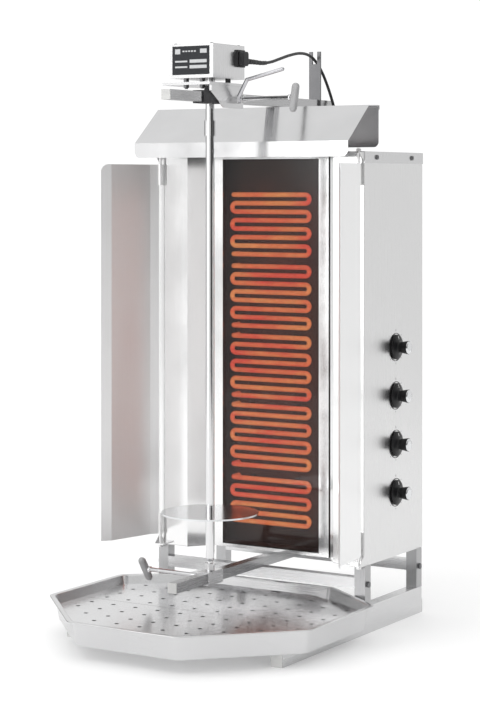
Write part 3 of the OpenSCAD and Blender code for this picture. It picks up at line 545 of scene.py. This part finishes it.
# The same route as the CAD solid, from the plug to the gland
LEAD_ROUTE = [
    (0.055, -0.018, 1.042), (0.055, 0.003, 1.042), (0.054, 0.033, 1.042),
    (0.051, 0.068, 1.046), (0.046, 0.108, 1.054), (0.040, 0.153, 1.063),
    (0.033, 0.203, 1.070), (0.026, 0.248, 1.070), (0.022, 0.284, 1.0605),
    (0.025, 0.307, 1.038), (0.033, 0.319, 1.005), (0.043, 0.325, 0.965),
    (0.053, 0.325, 0.925), (0.060, 0.323, 0.896),
]
LEAD_D = 0.0056
# Root and end radius of the strain reliefs on the lead, and the height of their ribs
BOOT_ROOT_R = 0.0046
BOOT_END_R = 0.0034
BOOT_RIB = 0.00045


def half_steps(line):
    """The line with the middle of each step added."""
    return [a + (b - a) * share for a, b in zip(line, line[1:]) for share in (0, 0.5)]


def make_boot(name, line, ribs, body):
    """A tapered, ribbed strain relief round the first stretch of the lead."""
    count = len(line)
    radii = []
    for i in range(count):
        share = i / (count - 1)
        rib = BOOT_RIB if int(share * ribs * 2) % 2 == 0 else 0.0
        radii.append(BOOT_ROOT_R + (BOOT_END_R - BOOT_ROOT_R) * share + rib)
    piece = tube(name, line, radii, 24, [RUBBER])
    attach(piece, body)
    return piece


def make_lead():
    line = smooth_line(LEAD_ROUTE, 10)
    plug_boot = make_boot("plug_boot", half_steps(line[:25]), 6, "upper_carriage")
    gland_boot = make_boot("gland_boot", half_steps(line[::-1][:9]), 5, "frame")
    lead = tube("lead", line, [LEAD_D / 2] * len(line), 20, [RUBBER])
    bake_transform(lead)
    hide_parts("motor_lead")
    make_plug()


PLUG_DEPTH = 0.021
PLUG_CORNER = 0.004
PLUG_SIDES = 32
FINGER_RIBS = 5
NECK_R = 0.0045
NECK_SIDES = 24


def plug_shell(low, high):
    """Rings of a box with rounded corners, drawn in a little at both ends."""
    width = high[0] - low[0]
    middle_y = low[1] + PLUG_DEPTH / 2
    middle_z = (low[2] + high[2]) / 2
    layers = [
        (0.0, 0.0008), (0.0012, 0.0), (width - 0.0016, 0.0),
        (width - 0.0004, 0.0016), (width, 0.003),
    ]
    points = []
    for depth, inset in layers:
        half_y = PLUG_DEPTH / 2 - inset
        half_z = (high[2] - low[2]) / 2 - inset
        for k in range(PLUG_SIDES):
            turn = 2 * math.pi * k / PLUG_SIDES
            corner_y = math.copysign(half_y - PLUG_CORNER, math.cos(turn))
            corner_z = math.copysign(half_z - PLUG_CORNER, math.sin(turn))
            points.append(Vector((
                low[0] + depth,
                middle_y + corner_y + PLUG_CORNER * math.cos(turn),
                middle_z + corner_z + PLUG_CORNER * math.sin(turn),
            )))
    return points, skin_faces(len(layers), PLUG_SIDES)


def plug_ribs(low, high):
    """Finger ribs on the plug's outer face."""
    front = low[1] + PLUG_CORNER
    back = low[1] + PLUG_DEPTH - PLUG_CORNER
    ribs = []
    for i in range(FINGER_RIBS):
        z = low[2] + 0.006 + i * 0.0035
        outline = [(0, front, z), (0, back, z), (0, back, z + 0.0014), (0, front, z + 0.0014)]
        ribs.append(slab(outline, -0.001, 0.0006, (1, 0, 0), (high[0] - 0.0008, 0, 0)))
    return ribs


def plug_neck(low):
    """The round neck where the lead leaves the plug."""
    lead_x, _, lead_z = LEAD_ROUTE[0]
    root_y = low[1] + PLUG_DEPTH - 0.003
    line = [Vector((lead_x, root_y + 0.001 * i, lead_z)) for i in range(8)]
    turns = [2 * math.pi * k / NECK_SIDES for k in range(NECK_SIDES)]
    points = [p + NECK_R * Vector((math.cos(a), 0, math.sin(a))) for p in line for a in turns]
    return points, skin_faces(len(line), NECK_SIDES)


def make_plug():
    """The angled plug: a rounded body with finger ribs and a round neck."""
    low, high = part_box("motor_plug")
    solids = [plug_shell(low, high), *plug_ribs(low, high), plug_neck(low)]
    plug = joined("plug", solids, [RUBBER])
    soften(plug, 0.0005)
    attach(plug, "upper_carriage")
    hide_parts("motor_plug")
    return plug


make_lead()
dress_nodes()


# ---------- heating tubes ----------

ROW_PITCH = 0.0163
ROW_HALF = 0.077
COIL_X = -0.007
TUBE_D = 0.0091
TUBE_Y = FRONT_Y + 0.05425
FEED_BACK_Y = FRONT_Y + 0.126
FEED_R = 0.009
ROW_STEPS = 8
# Height of each tube's middle, and its number of rows
TUBES = [(0.743, 8), (0.606, 8), (0.472, 8), (0.339, 8), (0.216, 6)]


def feed_line(z):
    """From behind the pan forwards and round into a row."""
    bend = [
        (-ROW_HALF - FEED_R * math.cos(a), TUBE_Y + FEED_R - FEED_R * math.sin(a), z)
        for a in [math.radians(15 * k) for k in range(7)]
    ]
    return [Vector((-ROW_HALF - FEED_R, FEED_BACK_Y, z))] + [Vector(p) for p in bend]


def row_line(side, z):
    """A straight row that runs towards the given side."""
    start_x = -side * ROW_HALF
    return [
        Vector((start_x + side * 2 * ROW_HALF * s / ROW_STEPS, TUBE_Y, z))
        for s in range(1, ROW_STEPS)
    ]


def turn_line(side, z):
    """The half circle at one side that joins the rows above and below z."""
    turns = [math.radians(-90 + 15 * k) for k in range(13)]
    return [
        Vector((
            side * (ROW_HALF + ROW_PITCH / 2 * math.cos(a)),
            TUBE_Y,
            z - ROW_PITCH / 2 * math.sin(a),
        ))
        for a in turns
    ]


def make_heating_tubes():
    shift = Vector((COIL_X, 0, 0))
    for index, (middle, rows) in enumerate(TUBES):
        top = middle + (rows - 1) * ROW_PITCH / 2
        bottom = middle - (rows - 1) * ROW_PITCH / 2
        line = feed_line(top)
        for i in range(rows - 1):
            side = 1 if i % 2 == 0 else -1
            z = top - (i + 0.5) * ROW_PITCH
            line += row_line(side, z + ROW_PITCH / 2)
            line += turn_line(side, z)
        line += row_line(-1, bottom)
        line += feed_line(bottom)[::-1]
        line = [shift + p for p in line]
        radii = [TUBE_D / 2] * len(line)
        coil = tube(f"heating_coil_{index + 1}", line, radii, 16, [GLOW])
        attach(coil, "frame")
        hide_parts(f"heating_element_{index + 1}")


make_heating_tubes()


# ---------- knobs and their scales ----------

PANEL_X = 0.2245
KNOB_GAP = 0.002
SKIRT_R = 0.0235
GRIP_ROOT_R = 0.0095
GRIP_END_R = 0.0125
GRIP_RIBS = 30
CAP_BANDS = 4


def knob_centre(index):
    low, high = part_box(f"knob_{index + 1}")
    return Vector((PANEL_X, (low[1] + high[1]) / 2, (low[2] + high[2]) / 2))


def make_knob(index):
    """A black knob: thin domed skirt, flared ribbed grip and a bright turned cap."""
    body = f"knob_{index + 1}"
    origin = knob_centre(index) + Vector((KNOB_GAP, 0, 0))
    # Radius and height of the skirt, the grip and, in the last rows, the cap
    profile = [
        (SKIRT_R - 0.0012, 0.0), (SKIRT_R - 0.0003, 0.0003), (SKIRT_R, 0.0010),
        (SKIRT_R - 0.0003, 0.0018), (SKIRT_R - 0.0014, 0.0026), (0.0195, 0.0037),
        (0.0150, 0.0046), (0.0118, 0.0054), (0.0101, 0.0064), (GRIP_ROOT_R, 0.0080),
        (GRIP_ROOT_R + 0.0010, 0.0135), (GRIP_ROOT_R + 0.0020, 0.0190),
        (GRIP_END_R - 0.0003, 0.0238), (GRIP_END_R, 0.0247), (GRIP_END_R - 0.0005, 0.0252),
        (0.0117, 0.0252), (0.0115, 0.0260), (0.0109, 0.0265), (0.0060, 0.0267), (0.0003, 0.0267),
    ]
    bands = [0] * (len(profile) - 1 - CAP_BANDS) + [1] * CAP_BANDS
    looks = [BLACK, CHROME_CAP]
    knob = lathe(f"control_knob_{index + 1}", profile, 72, origin, (1, 0, 0), looks, bands)
    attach(knob, body)
    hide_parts(body)
    solids = []
    for k in range(GRIP_RIBS):
        turn = 2 * math.pi * k / GRIP_RIBS
        spoke = Vector((0, math.cos(turn), math.sin(turn)))
        across = 0.0004 * Vector((0, -math.sin(turn), math.cos(turn)))
        root = origin + Vector((0.0095, 0, 0)) + (GRIP_ROOT_R + 0.0002) * spoke
        tip = origin + Vector((0.0225, 0, 0)) + (GRIP_END_R - 0.0006) * spoke
        outline = [root - across, tip - across, tip + across, root + across]
        solids.append(slab(outline, -0.0003, 0.0003, spoke))
    low_end = origin + Vector((0.0034, 0, 0.0205))
    high_end = origin + Vector((0.0046, 0, 0.0150))
    half = Vector((0, 0.0008, 0))
    pointer = [low_end - half, low_end + half, high_end + half, high_end - half]
    solids.append(slab(pointer, -0.0002, 0.0004, (1, 0, 0)))
    grip = joined(f"knob_grip_{index + 1}", solids, [BLACK, POINTER], [0] * GRIP_RIBS + [1])
    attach(grip, body)


def arc_band(centre, inner, outer, start, stop, steps):
    """A thin printed arc on the side panel, as one solid."""
    turns = [math.radians(start + (stop - start) * k / steps) for k in range(steps + 1)]
    edge = [(0, centre[1] + outer * math.sin(a), centre[2] + outer * math.cos(a)) for a in turns]
    back = [(0, centre[1] + inner * math.sin(a), centre[2] + inner * math.cos(a)) for a in turns]
    return slab(edge + back[::-1], -0.00005, 0.00012, (1, 0, 0), (centre[0], 0, 0))


def make_knob_scale(index):
    """A thin black ring round a knob, partly painted shadow: it stands for the panel hole's edge
    and the skirt's shadow on the panel; and the printed marks outside it.
    """
    centre = knob_centre(index)
    profile = [
        (0.0262, -0.0002), (0.0264, 0.0004), (0.0262, 0.0008), (0.0258, 0.0009), (0.0254, 0.0007),
        (0.0252, 0.0003), (0.0252, -0.0002),
    ]
    # Partly painted shadow: the black ring stands for the panel hole's edge and for the skirt's
    # shadow on the panel.
    ring = lathe(f"knob_edge_and_shadow_ring_{index + 1}", profile, 72, centre, (1, 0, 0), [BLACK], ring=True)
    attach(ring, "frame")
    solids = [
        arc_band(centre, 0.0290, 0.0315 if mark else 0.0335, mark - 1.0, mark + 1.0, 2)
        for mark in (0, 45, 90, 135, 180, 225, 270)
    ]
    scale = joined(f"knob_scale_{index + 1}", solids, [INK])
    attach(scale, "frame")


for knob_index in range(4):
    make_knob(knob_index)
    make_knob_scale(knob_index)


# ---------- clamp screws ----------


def loft(name, rings, materials):
    """A closed skin over rings that all have the same number of points."""
    points = [p for ring in rings for p in ring]
    faces = skin_faces(len(rings), len(rings[0]))
    return add_object(name, mesh_from(name, points, faces), materials)


HANDLE_SIDES = 40
HANDLE_FLATNESS = 0.86


def make_clamp(body, tip, end, y, z, turn):
    """A clamp screw along X: a bright rod with a collar, and a moulded cross handle."""
    way = math.copysign(1, end - tip)
    length = abs(end - tip)
    rod = lathe(
        f"{body}_rod",
        [(0.0028, 0.0), (0.0038, 0.0010), (0.0040, 0.0016), (0.0040, length - 0.020),
         (0.0058, length - 0.0195), (0.0060, length - 0.0160), (0.0052, length - 0.0150),
         (0.0040, length - 0.0146), (0.0040, length - 0.006)],
        40, (tip, y, z), (way, 0, 0), [ROD_BRIGHT],
    )
    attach(rod, body)
    centre = Vector((end - way * 0.008, y, z))
    along = Vector((0, -math.sin(turn), math.cos(turn)))
    across = Vector((1, 0, 0))
    other = along.cross(across)
    # Distance along the handle and half its width there
    stations = [
        (-0.0268, 0.0012), (-0.0262, 0.0032), (-0.0245, 0.0050), (-0.0215, 0.0062),
        (-0.0120, 0.0066), (0.0, 0.0069), (0.0120, 0.0068), (0.0205, 0.0066),
        (0.0240, 0.0056), (0.0260, 0.0036), (0.0269, 0.0012),
    ]
    rings = []
    for distance, reach in stations:
        ring = []
        for k in range(HANDLE_SIDES):
            a = 2 * math.pi * k / HANDLE_SIDES
            c, s = math.cos(a), math.sin(a)
            square = (abs(c) ** 3 + abs(s) ** 3) ** (-1 / 3)
            spoke = c * across + HANDLE_FLATNESS * s * other
            ring.append(centre + distance * along + reach * square * spoke)
        rings.append(ring)
    handle = loft(f"{body}_handle", rings, [GREY])
    soften(handle, 0.0004, 2, 50)
    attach(handle, body)
    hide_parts(body)


# Body, X of the screw's tip and of the handle's end, Y, Z and the handle's turn
make_clamp("upper_clamp", 0.03105, 0.158, FRONT_Y - 0.125, 0.975, math.radians(-13))
make_clamp("lower_clamp", -0.00905, -0.149, FRONT_Y - 0.170, 0.111, math.radians(34))


# ---------- drip tray ----------

TRAY_OUTLINE = [
    (-0.111, -0.452), (0.111, -0.452), (0.277, -0.284), (0.277, -0.056),
    (0.134, 0.050), (-0.134, 0.050), (-0.277, -0.056), (-0.277, -0.284),
]
TRAY_CORNER_STEPS = 6


def rounded_outline(corners, inset, radius, steps):
    """The outline moved inwards and its corners rounded, always with the same point count."""
    count = len(corners)
    points = [Vector((x, y)) for x, y in corners]
    result = []
    for i in range(count):
        before = (points[i] - points[i - 1]).normalized()
        after = (points[(i + 1) % count] - points[i]).normalized()
        inward_before = Vector((-before.y, before.x))
        inward_after = Vector((-after.y, after.x))
        middle = (inward_before + inward_after) / (1 + inward_before.dot(inward_after))
        corner = points[i] + inset * middle
        centre = corner + radius * middle
        start = math.atan2(-inward_before.y, -inward_before.x)
        sweep = math.atan2(before.cross(after), before.dot(after))
        for k in range(steps + 1):
            a = start + sweep * k / steps
            result.append(centre + radius * Vector((math.cos(a), math.sin(a))))
    return result


def make_tray():
    """The pressed tray: sloping walls, rounded corners and a flat rim with a rolled edge."""
    # Inset from the outline, height and corner radius, from the floor's inside over the rim
    profile = [
        (0.0185, 0.0250, 0.016), (0.0172, 0.0254, 0.017), (0.0166, 0.0265, 0.018),
        (0.0088, 0.0666, 0.022), (0.0080, 0.0674, 0.023), (0.0016, 0.0674, 0.024),
        (0.0004, 0.0671, 0.025), (0.0, 0.0679, 0.025), (0.0004, 0.0688, 0.025),
        (0.0014, 0.0690, 0.024), (0.0084, 0.0690, 0.022), (0.0096, 0.0684, 0.021),
        (0.0101, 0.0672, 0.021), (0.0178, 0.0275, 0.017), (0.0186, 0.0264, 0.016),
        (0.0200, 0.0262, 0.015),
    ]
    points = []
    for inset, z, radius in profile:
        ring = rounded_outline(TRAY_OUTLINE, inset, radius, TRAY_CORNER_STEPS)
        points += [Vector((p.x, p.y + FRONT_Y, z)) for p in ring]
    count = len(TRAY_OUTLINE) * (TRAY_CORNER_STEPS + 1)
    mesh = mesh_from("tray_body", points, skin_faces(len(profile), count))
    tray = add_object("tray_body", mesh, [STEEL_TRAY])
    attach(tray, "drip_tray")
    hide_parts("drip_tray")


make_tray()


# ---------- small pieces ----------


def make_label_print():
    """Pale blank fields and rules on the rating plate, with no lettering."""
    low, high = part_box("label_plate")
    y = low[1]
    solids = []

    def field(x0, x1, z0, z1):
        outline = [(x0, 0, z0), (x1, 0, z0), (x1, 0, z1), (x0, 0, z1)]
        solids.append(slab(outline, -0.00015, 0.0001, (0, 1, 0), (0, y, 0)))

    left = low[0] + 0.006
    right = high[0] - 0.005
    field(left, left + 0.011, high[2] - 0.014, high[2] - 0.005)
    for i in range(5):
        field(left + 0.016 + i * 0.006, left + 0.020 + i * 0.006, high[2] - 0.0105, high[2] - 0.008)
    field(right - 0.014, right, high[2] - 0.013, high[2] - 0.0055)
    for z in (low[2] + 0.011, low[2] + 0.021):
        field(left, left + 0.026, z + 0.0012, z + 0.0042)
        field(left + 0.031, right, z, z + 0.0058)
    prints = joined("rating_fields", solids, [LABEL_PALE])
    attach(prints, "upper_carriage")


def recess_cross(centre, along, size):
    """A cross recess, drawn as two thin bars of painted shade just proud of a screw head."""
    along = Vector(along)
    side = along.orthogonal().normalized()
    other = along.cross(side)
    bars = []
    for long_way, short_way in ((side, other), (other, side)):
        a = size * long_way
        b = 0.22 * size * short_way
        outline = [-a - b, a - b, a + b, -a + b]
        bars.append(slab([Vector(centre) + p for p in outline], -0.0002, 0.00012, along))
    return bars


def make_screw_recesses():
    """Painted shade in the cross recesses of the cover's and the motor lid's screws."""
    solids = []
    for side in (-1, 1):
        for y in (0.046, 0.188):
            head = (side * 0.2282, FRONT_Y + y, 0.8695)
            solids += recess_cross(head, (side, 0, 0), 0.0022)
    crosses = joined("cover_screw_recess_shade", solids, [DARK_AND_SHADE])
    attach(crosses, "frame")
    solids = []
    for x in (-0.038, 0.038):
        for y in (-0.224, -0.134):
            solids += recess_cross((x, FRONT_Y + y, 1.0716), (0, 0, 1), 0.0014)
    crosses = joined("lid_screw_recess_shade", solids, [DARK_AND_SHADE])
    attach(crosses, "upper_carriage")


def weld_bead(name, start, stop, radius, body):
    """A row of overlapping weld ripples between two points."""
    start, stop = Vector(start), Vector(stop)
    steps = max(8, int((stop - start).length / 0.0012))
    line = [start + (stop - start) * i / steps for i in range(steps + 1)]
    radii = [radius * (0.82 + 0.18 * abs(math.sin(math.pi * i / 2.5))) for i in range(steps + 1)]
    bead = tube(name, line, radii, 8, [ZINC])
    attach(bead, body)


LEG_INNER_X = 0.2042
LEG_OUTER_X = 0.226
REAR_LEG_Y = 0.208
BAR_SEAM_Z = 0.1018
LEG_SEAM_Z = 0.0502


def make_welds():
    """Ripple welds where the crossbars meet the legs and the legs meet the rails."""
    for side, word in ((-1, "left"), (1, "right")):
        bar_x = side * LEG_INNER_X
        leg_x = side * LEG_OUTER_X
        for leg_y, end in ((FRONT_Y, "front"), (FRONT_Y + REAR_LEG_Y, "rear")):
            bar_start = (bar_x, leg_y + 0.001, BAR_SEAM_Z)
            bar_stop = (bar_x, leg_y + 0.019, BAR_SEAM_Z)
            weld_bead(f"weld_{word}_{end}_bar", bar_start, bar_stop, 0.0012, "frame")
            leg_start = (leg_x, leg_y + 0.001, LEG_SEAM_Z)
            leg_stop = (leg_x, leg_y + 0.021, LEG_SEAM_Z)
            weld_bead(f"weld_{word}_{end}_leg", leg_start, leg_stop, 0.0011, "frame")


make_label_print()
make_screw_recesses()
make_welds()


# ---------- studio ----------


FLOOR_HALF = 3.4
FLOOR_GLOW = 0.2


def make_floor():
    """A pale floor that lights itself a little, so that it stays white round the shadow."""
    shader = Shader("studio_floor", (0.92, 0.92, 0.92), 0.0, 0.7)
    grain = shader.noise(shader.spot(), 3.0, 2.0)
    shader.feed(shader.blend_color(grain, (0.91, 0.91, 0.91), (0.93, 0.93, 0.93)), "Base Color")
    shader.body.inputs["Emission Color"].default_value = (1, 1, 1, 1)
    shader.body.inputs["Emission Strength"].default_value = FLOOR_GLOW
    half = FLOOR_HALF
    points = [(-half, -half, 0), (half, -half, 0), (half, half, 0), (-half, half, 0)]
    mesh = mesh_from("floor", points, [(0, 1, 2, 3)], smooth=False)
    add_object("floor", mesh, [shader.material])


def make_area_light(name, spot, target, size, power):
    data = bpy.data.lights.new(name, "AREA")
    data.shape = "RECTANGLE"
    data.size, data.size_y = size
    data.energy = power
    light = bpy.data.objects.new(name, data)
    light.location = spot
    direction = Vector(target) - Vector(spot)
    light.rotation_euler = direction.to_track_quat("-Z", "Y").to_euler()
    bpy.context.scene.collection.objects.link(light)


# Patches of the room's light: azimuth from +X, elevation, inner and outer angle in degrees, and
# the factor or light outside and inside
FLAGS = [
    (-32, 0, 11, 19, 1.0, 0.06),
    (8, 0, 14, 40, 1.0, 0.10),
    (163, 0, 16, 30, 1.0, 0.30),
]
SOFT_BOXES = [
    (-106, 6, 13, 16, 0.0, 2.4),
    (-30, 70, 10, 40, 0.0, 0.4),
]
ROOM_LIGHT = 0.9
BACKDROP_LIGHT = 1.05


def make_world():
    """A bright soft room: grey flags at its sides, a soft box in front and a plain backdrop."""
    world = bpy.data.worlds.new("studio")
    bpy.context.scene.world = world
    world.use_nodes = True
    tree = world.node_tree
    sky = tree.nodes["Background"]

    def node(kind, inputs, **settings):
        made = tree.nodes.new(kind)
        for key, value in settings.items():
            setattr(made, key, value)
        for key, value in inputs.items():
            if isinstance(value, bpy.types.NodeSocket):
                tree.links.new(value, made.inputs[key])
            else:
                made.inputs[key].default_value = value
        return made.outputs

    def patch(way, azimuth, elevation, inner, outer, low, high):
        """A soft round patch of the sky: high inside the inner angle, low beyond the outer."""
        a, e = math.radians(azimuth), math.radians(elevation)
        centre = (math.cos(a) * math.cos(e), math.sin(a) * math.cos(e), math.sin(e))
        near = node("ShaderNodeVectorMath", {0: way, 1: centre}, operation="DOT_PRODUCT")["Value"]
        return node(
            "ShaderNodeMapRange",
            {
                "Value": near,
                "From Min": math.cos(math.radians(outer)),
                "From Max": math.cos(math.radians(inner)),
                "To Min": low,
                "To Max": high,
            },
            interpolation_type="SMOOTHSTEP",
        )["Result"]

    way = node("ShaderNodeTexCoord", {})["Generated"]
    flat = node("ShaderNodeVectorMath", {0: way, 1: (1, 1, 0.6)}, operation="MULTIPLY")[0]
    level = node("ShaderNodeVectorMath", {0: flat}, operation="NORMALIZE")[0]
    light = ROOM_LIGHT
    for flag in FLAGS:
        shade = patch(level, *flag)
        light = node("ShaderNodeMath", {0: light, 1: shade}, operation="MULTIPLY")[0]
    for box in SOFT_BOXES:
        light = node("ShaderNodeMath", {0: light, 1: patch(way, *box)}, operation="ADD")[0]
    seen = node("ShaderNodeLightPath", {})["Is Camera Ray"]
    shown = node(
        "ShaderNodeMapRange", {"Value": seen, "To Min": light, "To Max": BACKDROP_LIGHT}
    )["Result"]
    tree.links.new(shown, sky.inputs["Strength"])
    sky.inputs["Color"].default_value = (1, 1, 1, 1)


bpy.context.scene.view_settings.view_transform = "Standard"
make_floor()
make_world()
make_area_light("key", (-1.8, -2.6, 3.4), (0, 0, 0.5), (2.4, 2.4), 22)
